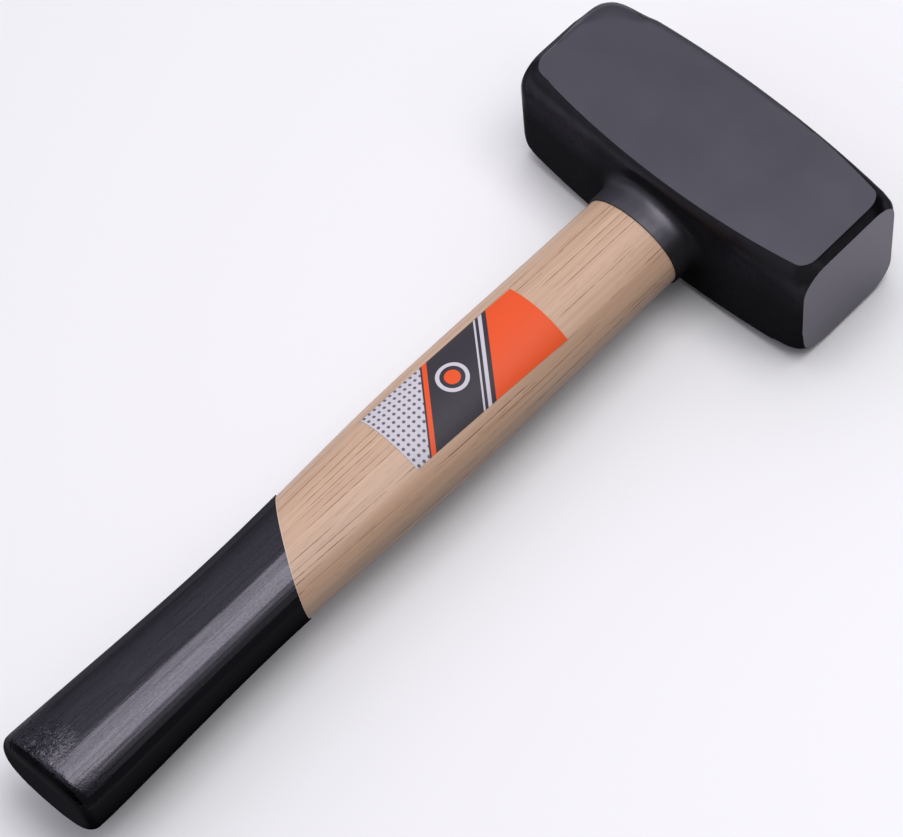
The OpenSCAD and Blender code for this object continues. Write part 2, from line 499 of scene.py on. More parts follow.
@dataclass(frozen=True)
class ForgedSteel(Finish):
    """Blackened forging with satin ground cheeks and striking faces.

    A span is where a mask rises from 0 to 1, in millimetres from the middle of the eye.
    """

    name: ClassVar[str] = "forged_steel"
    ground: Colour = (0.083, 0.080, 0.0955)
    forged: Colour = (0.042, 0.0405, 0.047)
    # Paler collar colour, partly a painted highlight.
    collar: Colour = (0.106, 0.102, 0.119)
    # Dark matt surface, mixed in as painted shade on the lower flanks and the near corner, and used in the
    # collar's hollow.
    matt: Colour = (0.0265, 0.026, 0.029)
    ground_tint: Colour = (0.97, 0.95, 1.0)
    forged_tint: Colour = (0.42, 0.42, 0.42)
    ground_rough: float = 0.32
    forged_rough: float = 0.26
    # Share of gloss left at the foot of the flanks, under the painted shade.
    shaded_flank_gloss: float = 0.18
    edge_soft: float = 0.04
    worn_soft: float = 0.25
    round_soft: float = 1.0
    worn_share: float = 0.4
    worn: WornEdges = WornEdges((41, 46), (-17, -11), (6, 10), (8, 20))
    bevel: WornEdges = WornEdges((48, 51), (-15, -11), (13, 16), (8, 22))
    bevel_height: Span = (15, 18)
    round_rear: Span = (38, 47)
    round_side: Span = (-8, 10)
    collar_start: Span = (21.5, 25)
    # Where the paler collar, partly a painted highlight, stops towards its right side.
    collar_highlight_stop: Span = (11, 17)
    hollow_start: Span = (14, 17.5)
    hollow_stop: Span = (20, 30)
    hollow_top: Span = (16, 20)
    # Place of the painted shade at the near corner of the striking end.
    shaded_corner_end: Span = (30, 42)
    shaded_corner_side: Span = (10, 14)
    # Height over which the painted shade on the flanks gives way to gloss.
    flank_shade_fade: Span = (1, 13)

    def shader(self, desk: Desk) -> Socket:
        """Mix the ground steel into the forged skin.

        Args:
            desk: Desk of the material.

        Returns:
            The shader's output.
        """
        place = desk.place_mm()
        grit = desk.noise(place, (2.2, 2.2, 2.2), 3.0)
        flat = self.flat(*desk.parts(place))
        return desk.mix(flat, self.skin(desk, place, grit), self.steel(desk, place, grit))

    def flat(self, x: Value, y: Value, z: Value) -> Value:
        """Find the ground steel by its place.

        Args:
            x: Place along the head.
            y: Place along the handle.
            z: Height above the axis.

        Returns:
            1 on the cheeks and faces, less on the worn bevels and 0 elsewhere.
        """
        _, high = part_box("head")
        end, top = high.x / MM, (high.z - AXIS.z) / MM
        rounded = (-x).rise(*self.round_rear) * y.rise(*self.round_side)
        soft = self.edge_soft + self.worn_soft * self.worn.mask(x, y) + self.round_soft * rounded
        cheek = 1 - ((top - abs(z)) / soft).rise(1, 2)
        face = abs(x).rise(end - 2 * self.edge_soft, end - self.edge_soft)
        bevel = self.worn_share * self.bevel.mask(x, y) * abs(z).rise(*self.bevel_height)
        return cheek.larger(face).larger(bevel)

    def steel(self, desk: Desk, place: Socket, grit: Value) -> Socket:
        """Wire the ground steel.

        Args:
            desk: Desk of the material.
            place: Place in millimetres.
            grit: Fine noise.

        Returns:
            The shader's output.
        """
        cloud = desk.noise(place, (0.05, 0.05, 0.05), 3.0)
        lines = desk.noise(place, (0.12, 5.0, 5.0))
        return desk.surface(
            Base_Color=desk.blend(cloud, toned(self.ground, 0.85), toned(self.ground, 1.15)),
            Metallic=1.0,
            Roughness=self.ground_rough - 0.03 + 0.06 * cloud + 0.05 * (lines - 0.5),
            Specular_Tint=self.ground_tint,
            Normal=desk.bump(grit * 0.6 + lines * 0.4, 0.008))

    def skin(self, desk: Desk, place: Socket, grit: Value) -> Socket:
        """Wire the forged skin: glossy on top, with painted shade as matt down the flanks and at the near
        corner, and a paler collar that is partly a painted highlight.

        Args:
            desk: Desk of the material.
            place: Place in millimetres.
            grit: Fine noise.

        Returns:
            The shader's output.
        """
        x, y, z = desk.parts(place)
        down = -y
        scale = desk.noise(place, (0.35, 0.35, 0.35), 4.0)
        # Paler on the collar, partly a painted highlight, and not on its right side.
        collar = down.rise(*self.collar_start) * (1 - x.rise(*self.collar_highlight_stop))
        hollow = (down.rise(*self.hollow_start) * (1 - abs(x).rise(*self.hollow_stop))
                  * (1 - 0.5 * z.rise(*self.hollow_top)) * (1 - collar))
        # Painted shade at the near corner of the striking end.
        corner = x.rise(*self.shaded_corner_end) * down.rise(*self.shaded_corner_side)
        patchy = scale - 0.6 * collar * (scale - 0.5)
        forged = desk.surface(
            Base_Color=desk.blend(0.5 * patchy, desk.blend(collar, self.forged, self.collar), BLACK),
            Metallic=1 - 0.45 * collar,
            Roughness=self.forged_rough - 0.05 + 0.1 * scale + 0.07 * collar,
            Specular_Ior_Level=0.0,
            Specular_Tint=self.forged_tint,
            Normal=desk.bump(grit * 0.3 + patchy * 0.7, 0.05))
        matt = desk.surface(
            Base_Color=desk.blend(scale, toned(self.matt, 0.75), self.matt),
            Roughness=0.6 + 0.2 * grit,
            Specular_Ior_Level=0.0)
        # Painted shade: the flanks turn matt and darker towards the bottom, and the near corner turns matt.
        # The hollow by the collar is made matt as well.
        gloss = self.shaded_flank_gloss + (1 - self.shaded_flank_gloss) * z.rise(*self.flank_shade_fade)
        return desk.mix(gloss * (1 - 0.85 * hollow) * (1 - 0.6 * corner), matt, forged)


@dataclass(frozen=True)
class CoatEdge:
    """The slanted plane where the lacquer stops: its place on the axis in millimetres and its two angles."""

    y: float = -170.3
    slant: float = 33.0
    tilt: float = 9.0

    def normal(self) -> Vector:
        """Return the plane's normal, towards the bare wood."""
        slant, tilt = math.radians(self.slant), math.radians(self.tilt)
        return Vector((math.sin(slant) * math.cos(tilt), math.cos(slant) * math.cos(tilt), math.sin(tilt)))


@dataclass(frozen=True)
class Strokes:
    """Thin dark strokes along the grain: their sizes in millimetres and the share that is left out."""

    width: float
    length: float
    pitch: float
    left_out: float

    def mask(self, desk: Desk, around: Value, along: Value) -> Value:
        """Scatter the strokes over the handle.

        Args:
            desk: Desk of the material.
            around: Way round the handle in millimetres.
            along: Way along the handle in millimetres.

        Returns:
            1 inside a stroke and 0 outside.
        """
        column, row = around / self.pitch, along / self.length
        middle, colour = desk.scatter(desk.joined(column, row, 0.0))
        middle_column, middle_row, _ = desk.parts(middle)
        own, reach, _ = desk.parts(colour)
        side = abs(column - middle_column) * self.pitch
        end = abs(row - middle_row) / (0.25 + 0.35 * reach)
        line = 1 - side.rise(0.28 * self.width, 0.52 * self.width)
        return line * (1 - end.rise(0.6, 1.0)) * own.rise(self.left_out, self.left_out + 0.25)


@dataclass(frozen=True)
class HandleWood(Finish):
    """Pale ring-porous wood, turned smooth and clear lacquered, with long dark pore lines."""

    name: ClassVar[str] = "handle_wood"
    pale: Colour = (0.62, 0.42, 0.295)
    tan: Colour = (0.52, 0.335, 0.225)
    pore: Colour = (0.17, 0.085, 0.048)
    # Colour of the painted highlight along the lacquer's edge.
    coat_lip_highlight: Colour = (0.78, 0.66, 0.56)
    pith: Span = (-60.0, -20.0)
    ring_step: float = 2.6
    round_r: float = 14.0
    waver: float = 1.0
    bend: float = 0.0001
    # Width of the painted highlight along the lacquer's edge.
    bend_from: float = -35.0
    coat_lip_highlight_width: float = 0.3
    lines: Strokes = Strokes(0.29, 62.0, 2.6, 0.10)
    dashes: Strokes = Strokes(0.22, 13.0, 2.3, 0.6)
    specks: Strokes = Strokes(0.20, 3.4, 1.3, 0.6)
    edge: CoatEdge = CoatEdge()

    def shader(self, desk: Desk) -> Socket:
        """Lay rings, fibres and pore lines over the wood.

        Args:
            desk: Desk of the material.

        Returns:
            The shader's output.
        """
        straight = desk.place_mm()
        x, y, z = desk.parts(straight)
        below = (self.bend_from - y).larger(0.0)
        drift = self.bend * below * below
        shift = drift + self.waver * (desk.noise(straight, (0.06, 0.02, 0.06)) - 0.5)
        place = desk.joined(x + shift, y, z)
        broad = desk.noise(place, (0.16, 0.007, 0.16))
        silk = desk.noise(place, (1.1, 0.014, 1.1), 3.0)
        fibre = desk.noise(place, (5.5, 0.07, 5.5))
        broken = desk.noise(place, (0.5, 0.2, 0.5)).rise(0.32, 0.6)
        around = self.round_r * x.angle(z) + shift
        lines = self.lines.mask(desk, around, y) * (0.4 + 0.6 * broken)
        dashes = self.dashes.mask(desk, around, y)
        specks = self.specks.mask(desk, around, y)
        dark = lines.larger(0.45 * dashes).larger(0.25 * specks)
        tone = (0.55 * broad + 0.45 * silk).rise(0.3, 0.7)
        wood = desk.blend(tone, self.tan, self.pale)
        early = 0.16 * self.early_wood(x + shift, z)
        ringed = desk.blend(early + 0.25 * (fibre - 0.4), wood, toned(self.tan, 0.72))
        lined = desk.blend(0.92 * dark, ringed, self.pore)
        # The pale strip along the lacquer's edge is a painted highlight of the coat's lip.
        return desk.surface(
            Base_Color=desk.blend(0.75 * self.coat_lip_highlight_mask(x, y, z), lined, self.coat_lip_highlight),
            Roughness=0.40 + 0.12 * dark + 0.1 * (fibre - 0.5),
            Specular_Ior_Level=0.45,
            Normal=desk.bump(0.35 * fibre - 0.4 * dark + 0.15 * silk, 0.06, 0.6))

    def early_wood(self, x: Value, z: Value) -> Value:
        """Return 1 in the porous early wood of each ring and 0 in its late wood."""
        phase = ((x - self.pith[0]).reach(z - self.pith[1]) / self.ring_step).fraction()
        return phase.rise(0.0, 0.08) * (1 - phase.rise(0.2, 0.75))

    def coat_lip_highlight_mask(self, x: Value, y: Value, z: Value) -> Value:
        """Find the pale strip along the edge of the lacquer, a painted highlight of the coat's lip.

        Args:
            x: Place along the head.
            y: Place along the handle.
            z: Height above the axis.

        Returns:
            1 on the strip and 0 on the wood above it.
        """
        normal = self.edge.normal()
        clear = normal.x * x + normal.y * (y - self.edge.y) + normal.z * z
        return 1 - clear.rise(0.6 * self.coat_lip_highlight_width, 1.2 * self.coat_lip_highlight_width)


@dataclass(frozen=True)
class GripLacquer(Finish):
    """Glossy black dipped lacquer that shows the grain under it and wrinkles at the butt.

    A span is where a mask rises from 0 to 1, and a place is a way down from the eye, both in millimetres.
    """

    name: ClassVar[str] = "grip_lacquer"
    sheen: Colour = (0.053, 0.051, 0.061)
    # Dark matt surface, mixed in as painted shade on the lower sides; a lighter tone of it colours the end.
    matt: Colour = (0.0165, 0.016, 0.018)
    # Colour of the painted glints by the rim.
    painted_glint: Colour = (0.55, 0.54, 0.58)
    edge_tint: Colour = (0.5, 0.5, 0.5)
    gloss: float = 0.07
    rim: float = 262.4
    end_slope: float = 0.035
    end_side: float = 17.0
    wrinkle_start: Span = (246.0, 259.0)
    wrinkle_stop: Span = (-4, 2)
    # Where the painted glints stop towards the right.
    painted_glint_stop: Span = (2, 6)
    # Heights over which the painted shade on the lower sides gives way to gloss.
    underside_shade_low: Span = (-3, 3)
    underside_shade_high: Span = (5.5, 9.0)
    pores: Strokes = Strokes(0.26, 26.0, 1.7, 0.3)

    def shader(self, desk: Desk) -> Socket:
        """Mix gloss on top with matt as painted shade on the lower sides, over grain and wrinkles, with
        painted shade in the creases and along the ragged rim and painted glints by it.

        Args:
            desk: Desk of the material.

        Returns:
            The shader's output.
        """
        place = desk.place_mm()
        x, y, z = desk.parts(place)
        down = -y - self.end_slope * (self.end_side - x)
        wrinkled = (-y).rise(*self.wrinkle_start) * (1 - 0.9 * x.rise(*self.wrinkle_stop))
        streak = desk.noise(place, (2.4, 0.05, 2.4), 4.0, 0.65)
        wave = desk.noise(place, (0.35, 0.02, 0.35))
        grit = desk.noise(place, (2.6, 1.3, 2.6), 3.0, 0.6)
        fold = desk.noise(place, (0.75, 0.6, 0.75), 2.0, 0.5, 1.2)
        tone = 0.45 * streak + 0.55 * grit
        crease = 1 - abs(2 * fold - 1)
        rough_rim = down + 1.6 * (fold - 0.5) + 1.2 * (grit - 0.5)
        # Painted shade: a dark ragged line along the rounded rim.
        rim = rough_rim.rise(self.rim - 0.4, self.rim + 0.2)
        end = down.rise(self.rim + 1.2, self.rim + 2.2)
        relief = (0.14 * streak + 0.5 * wave + 0.05 * grit
                  + wrinkled * (7.0 * crease + 0.6 * grit) + 1.5 * rim * fold)
        normal = desk.bump(relief, 0.12, 0.5)
        pores = self.pores.mask(desk, HandleWood.round_r * x.angle(z) + wave, y)
        # Painted shade in the creases of the wrinkles.
        crease_shade = wrinkled * (1 - crease.rise(0.72, 0.9))
        shine = (0.6 + 0.4 * tone.rise(0.3, 0.7)) * (1 - 0.8 * rim) * (1 - 0.4 * pores) * (1 - 0.5 * crease_shade)
        # Painted glints: bright specks along the rim, on the left side only.
        painted_glint = grit.rise(0.66, 0.70) * rough_rim.near(self.rim - 0.6, 0.7, 0.6)
        painted_glint = painted_glint * (1 - x.rise(*self.painted_glint_stop))
        lacquer = desk.surface(
            Base_Color=desk.blend(painted_glint, desk.blend(shine, BLACK, self.sheen), self.painted_glint),
            Metallic=0.9,
            Roughness=self.gloss + 0.12 * (tone - 0.4),
            Specular_Ior_Level=0.0,
            Specular_Tint=self.edge_tint,
            Normal=normal)
        dull = desk.blend(end, self.matt, toned(self.matt, 3.5))
        matt = desk.surface(
            Base_Color=desk.blend(0.6 * tone, dull, BLACK),
            Roughness=0.6 + 0.2 * grit,
            Specular_Ior_Level=0.0,
            Normal=normal)
        # Painted shade: the lower sides turn matt and darker.
        gloss = 0.06 * z.rise(*self.underside_shade_low) + 0.94 * z.rise(*self.underside_shade_high)
        return desk.mix(gloss * (1 - 0.9 * end), matt, lacquer)


@dataclass(frozen=True)
class LabelFilm(Finish):
    """Printed film with a plain geometric design, laid out in millimetres over the piece's own map.

    The lines, the stripe and the ring have a middle and half a width.
    """

    name: ClassVar[str] = "label_film"
    width: float
    length: float
    orange: Colour = (0.80, 0.090, 0.017)
    charcoal: Colour = (0.035, 0.030, 0.040)
    pale: Colour = (0.60, 0.57, 0.63)
    line_soft: float = 0.12
    slant: float = 0.8
    cap_from: float = 40.0
    wide_line: Span = (37.6, 0.7)
    thin_line: Span = (35.4, 0.35)
    stripe: Span = (15.6, 0.9)
    foot_to: float = 14.0
    ring_at: Span = (-1.5, 26.5)
    ring: Span = (4.3, 0.6)
    disc_r: float = 2.4
    dot_pitch: float = 2.0
    dot_r: float = 0.5

    def shader(self, desk: Desk) -> Socket:
        """Print one layer of the design over the other.

        Args:
            desk: Desk of the material.

        Returns:
            The shader's output.
        """
        u, v, _ = desk.parts(desk.node("TexCoord").outputs["UV"])
        across, along = (u - 0.5) * self.width, v * self.length
        soft = self.line_soft
        slanted = along + self.slant * across
        foot = 1 - slanted.rise(self.foot_to - soft, self.foot_to + soft)
        ringed = (across - self.ring_at[0]).reach(along - self.ring_at[1])
        layers = (
            (foot, self.pale),
            (slanted.near(*self.stripe, soft), self.orange),
            (slanted.near(*self.wide_line, soft), self.pale),
            (slanted.near(*self.thin_line, soft), self.pale),
            (ringed.near(*self.ring, soft), self.pale),
            (1 - ringed.rise(self.disc_r - soft, self.disc_r + soft), self.orange),
            (slanted.rise(self.cap_from - soft, self.cap_from + soft), self.orange),
            (0.85 * (self.dots(across, along) * foot), self.charcoal))
        printed: Input = self.charcoal
        for share, colour in layers:
            printed = desk.blend(share, printed, colour)
        screen = desk.noise(desk.place_mm(), (0.4, 0.4, 0.4))
        return desk.surface(
            Base_Color=printed,
            Roughness=0.44 + 0.08 * screen,
            Specular_Ior_Level=0.25,
            Normal=desk.bump(screen, 0.03, 0.5))

    def dots(self, across: Value, along: Value) -> Value:
        """Lay out an even field of small dots.

        Args:
            across: Way across the film.
            along: Way along the film.

        Returns:
            1 inside a dot and 0 outside.
        """
        right, up = [(way / self.dot_pitch).fraction() - 0.5 for way in (across, along)]
        edge = self.dot_r / self.dot_pitch
        return 1 - right.reach(up).rise(edge - 0.05, edge + 0.05)


@dataclass(frozen=True)
class WedgeWood(Finish):
    """Sawn brown wedge wood, unfinished at its end."""

    name: ClassVar[str] = "wedge_wood"
    light: Colour = (0.42, 0.255, 0.14)
    dark: Colour = (0.25, 0.135, 0.065)

    def shader(self, desk: Desk) -> Socket:
        """Lay a coarse grain over the wood.

        Args:
            desk: Desk of the material.

        Returns:
            The shader's output.
        """
        place = desk.place_mm()
        grain = desk.noise(place, (2.6, 0.2, 4.0), 4.0, 0.6)
        tone = desk.noise(place, (0.3, 0.3, 0.3))
        return desk.surface(
            Base_Color=desk.blend((0.6 * grain + 0.4 * tone).rise(0.3, 0.7), self.dark, self.light),
            Roughness=0.62 + 0.2 * grain,
            Normal=desk.bump(grain, 0.08, 0.6))


@dataclass(frozen=True)
class WedgeSteel(Finish):
    """Bare mild steel, bruised where it was driven in."""

    name: ClassVar[str] = "wedge_steel"
    bright: Colour = (0.36, 0.355, 0.35)
    dull: Colour = (0.17, 0.16, 0.155)

    def shader(self, desk: Desk) -> Socket:
        """Bruise and scratch the steel.

        Args:
            desk: Desk of the material.

        Returns:
            The shader's output.
        """
        place = desk.place_mm()
        bruise = desk.noise(place, (0.7, 0.7, 0.7), 4.0, 0.6)
        scratch = desk.noise(place, (0.6, 6.0, 6.0))
        return desk.surface(
            Base_Color=desk.blend(bruise.rise(0.35, 0.65), self.dull, self.bright),
            Metallic=1.0,
            Roughness=0.34 + 0.2 * bruise,
            Normal=desk.bump(0.7 * bruise + 0.3 * scratch, 0.06, 0.6))


@dataclass(frozen=True)
class FloorPaper(Finish):
    """Plain pale studio paper, white to the eye and in gloss, and dimmer as a reflector of light."""

    name: ClassVar[str] = "floor_paper"
    white: Colour = (0.90, 0.90, 0.905)
    dim: Colour = (0.14, 0.14, 0.14)

    def shader(self, desk: Desk) -> Socket:
        """Tell the rays that see the paper from those that it only lights.

        Args:
            desk: Desk of the material.

        Returns:
            The shader's output.
        """
        rays = desk.node("LightPath").outputs
        seen = Value(desk, rays["Is Camera Ray"])
        for kind in ("Is Glossy Ray", "Is Transmission Ray"):
            seen = seen.larger(Value(desk, rays[kind]))
        shown = desk.blend(seen, self.dim, self.white)
        return desk.surface(Base_Color=shown, Roughness=0.95, Specular_Ior_Level=0.1)


@dataclass
class Handle:
    """The wooden handle, from its butt to the tenon that fills the eye."""

    sides: int = 64
    butt_power: float = 2.3
    butt_round: float = 3.5 * MM
    butt_tilt: float = 2.0
    rod_r: float = 10 * MM
    end_inset: float = 1.2 * MM
    end_insets: int = 2
    smoothing: int = 2
    sharp: float = 35.0
    finish: HandleWood = field(default_factory=HandleWood)
    piece: Workpiece = field(init=False)

    def build(self) -> Workpiece:
        """Turn the handle from a rod, ring by ring.

        Returns:
            The handle before its kerf is cut.
        """
        rings = oval_rings(("handle", "wood_wedge"))
        shaft = [ring for ring in rings if ring.y < AXIS.collar_y + NEAR]
        tenon = rings[len(shaft):]
        butt, neck = shaft[0].y, shaft[-1].y
        Workpiece.clear_bench()
        bpy.ops.mesh.primitive_cylinder_add(
            vertices=self.sides, radius=self.rod_r, depth=neck - butt, end_fill_type="NGON",
            location=AXIS.point((butt + neck) / 2), rotation=(math.pi / 2, 0, 0))
        self.piece = Workpiece.added("wooden_handle")
        self.piece.edit()
        self.square_butt(butt)
        for ring in shaft[1:-1]:
            self.piece.cut(AXIS.point(ring.y), (0, 1, 0))
        for ring in shaft:
            self.piece.pick(lambda place, y=ring.y: abs(place.y - y) < NEAR)
            self.stretch(Ring(ring.y, self.rod_r, self.rod_r), ring)
        self.draw_tenon(shaft[-1], tenon)
        for end in (butt, tenon[-1].y):
            self.pick_end(end)
            for _ in range(self.end_insets):
                bpy.ops.mesh.inset(thickness=self.end_inset)
        self.tilt_butt(shaft)
        self.piece.modify("SUBSURF", levels=self.smoothing, render_levels=self.smoothing)
        return self.piece

    def pick_end(self, y: float) -> None:
        """Select the flat end of the handle at a place along it."""
        self.piece.pick_faces(lambda middle, normal: abs(middle.y - y) < NEAR and abs(normal.y) > 0.9)

    @staticmethod
    def stretch(old: Ring, new: Ring) -> None:
        """Give the selected ring the half widths of a new one."""
        value = (new.half_x / old.half_x, 1, new.half_z / old.half_z)
        bpy.ops.transform.resize(value=value, center_override=AXIS.point(new.y))

    def square_butt(self, y: float) -> None:
        """Draw the circle at the butt out into a squarer oval.

        Args:
            y: Place of the butt.
        """
        power = 2 / self.butt_power - 1
        for step in range(1, self.sides // 4):
            turn = math.tau * step / self.sides
            wide, high = math.sin(turn), math.cos(turn)

            def corner(place: Vector) -> bool:
                """Say whether a place is one of the four vertices of this step."""
                right, up = abs(place.x) - self.rod_r * wide, abs(place.z - AXIS.z) - self.rod_r * high
                return all(abs(off) < NEAR for off in (right, place.y - y, up))

            self.piece.pick(corner)
            bpy.ops.transform.resize(value=(wide ** power, 1, high ** power), center_override=AXIS.point(y))

    def draw_tenon(self, last: Ring, rings: Sequence[Ring]) -> None:
        """Extrude the tenon from the end of the shaft.

        Args:
            last: The ring at the end of the shaft.
            rings: The tenon's rings in order.
        """
        self.pick_end(last.y)
        for ring in rings:
            bpy.ops.mesh.extrude_region_move(TRANSFORM_OT_translate={"value": (0, ring.y - last.y, 0)})
            self.stretch(last, ring)
            last = ring

    def tilt_butt(self, shaft: Sequence[Ring]) -> None:
        """Turn the rounded end a little out of square, about its left edge.

        Args:
            shaft: The shaft's rings, from the butt.
        """
        butt = shaft[0].y
        end = [ring for ring in shaft if ring.y < butt + self.butt_round]
        self.piece.pick(lambda place: place.y < butt + self.butt_round)
        bpy.ops.transform.rotate(
            value=-math.radians(self.butt_tilt), orient_axis="Z",
            center_override=(-end[-1].half_x, butt, AXIS.z))

    def cut_kerf(self, wedges: "Wedges") -> None:
        """Saw the kerf and let the steel wedges in.

        Args:
            wedges: The wedges that the handle holds.
        """
        for cutter in wedges.cutters():
            self.piece.carve(cutter)
            cutter.discard()

    def dress(self) -> None:
        """Finish the handle and put it in its place."""
        self.piece.shade(self.sharp)
        self.piece.stand_for("handle", "handle_wood", self.finish.material())


@dataclass
class Wedges:
    """The wooden wedge along the eye and the two steel wedges across it."""

    overlap: float = 2 * MM
    edge: float = 0.12 * MM
    edge_segments: int = 2
    edge_angle: float = 40.0
    sharp: float = 35.0
    wood: WedgeWood = field(default_factory=WedgeWood)
    steel: WedgeSteel = field(default_factory=WedgeSteel)
    wood_piece: Workpiece = field(init=False)
    steel_piece: Workpiece = field(init=False)

    def cutters(self) -> list[Workpiece]:
        """Make the shapes that cut the kerf and the steel wedges' slots.

        Returns:
            The kerf's cutter and the slots' cutter.
        """
        low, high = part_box("wood_wedge")
        thick = [v.co.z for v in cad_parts["wood_wedge"].data.vertices if v.co.y < low.y + NEAR]
        foot = max(thick) - min(thick)
        slope = (high.z - low.z - foot) / (high.y - low.y)
        top = high.z - low.z + slope * self.overlap
        Workpiece.clear_bench()
        bpy.ops.mesh.primitive_cube_add(
            size=1, location=((low.x + high.x) / 2, (low.y + high.y + self.overlap) / 2, AXIS.z))
        bpy.context.object.scale = (
            high.x - low.x + 2 * self.overlap, high.y - low.y + self.overlap, top)
        kerf = Workpiece.added("kerf_cutter")
        kerf.edit()
        kerf.pick(lambda place: place.y < low.y + NEAR)
        bpy.ops.transform.resize(value=(1, 1, foot / top), center_override=AXIS.point(low.y))
        slots = Workpiece.copy_of(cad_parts["steel_wedges"], "slot_cutter")
        slots.edit()
        steel_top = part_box("steel_wedges")[1].y
        slots.pick(lambda place: place.y > steel_top - NEAR)
        bpy.ops.transform.translate(value=(0, self.overlap, 0))
        return [kerf, slots]

    def build(self) -> None:
        """Copy both kinds of wedge and break their edges."""
        self.wood_piece = Workpiece.copy_of(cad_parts["wood_wedge"], "wooden_wedge")
        self.steel_piece = Workpiece.copy_of(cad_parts["steel_wedges"], "steel_wedge_pair")
        for piece in (self.wood_piece, self.steel_piece):
            piece.modify(
                "BEVEL", width=self.edge, segments=self.edge_segments, limit_method="ANGLE",
                angle_limit=math.radians(self.edge_angle))

    def dress(self) -> None:
        """Finish the wedges and put them in their places."""
        for piece in (self.wood_piece, self.steel_piece):
            piece.shade(self.sharp)
        self.wood_piece.stand_for("wood_wedge", "wedge_wood", self.wood.material())
        self.steel_piece.stand_for("steel_wedges", "wedge_steel", self.steel.material())


class Ground(Enum):
    """Kinds of flat that are ground on the head."""

    FACE = "striking face"
    CHEEK = "cheek"
    RIM = "rim of the collar"


@dataclass(frozen=True)
class Flat:
    """A ground flat: its kind, a point of it, its outward normal and the slope of the bevels round it."""

    kind: Ground
    point: Vector
    normal: Vector
    slope: float

    def height(self, place: Vector) -> float:
        """Return how far a place stands out of the flat."""
        return (place - self.point).dot(self.normal)

    def bears(self, middle: Vector, normal: Vector) -> bool:
        """Say whether a mesh face belongs to this flat."""
        return normal.dot(self.normal) > 0.999 and abs(self.height(middle)) < NEAR / 10


@dataclass(frozen=True)
class WornZone:
    """A block of the head, in millimetres from the middle of its eye, and how many times it is smoothed."""

    low: Triple
    high: Triple
    passes: int

    def holds(self, place: Vector) -> bool:
        """Say whether a place lies in the zone."""
        spot = (place.x / MM, place.y / MM, (place.z - AXIS.z) / MM)
        return all(a < b < c for a, b, c in zip(self.low, spot, self.high))


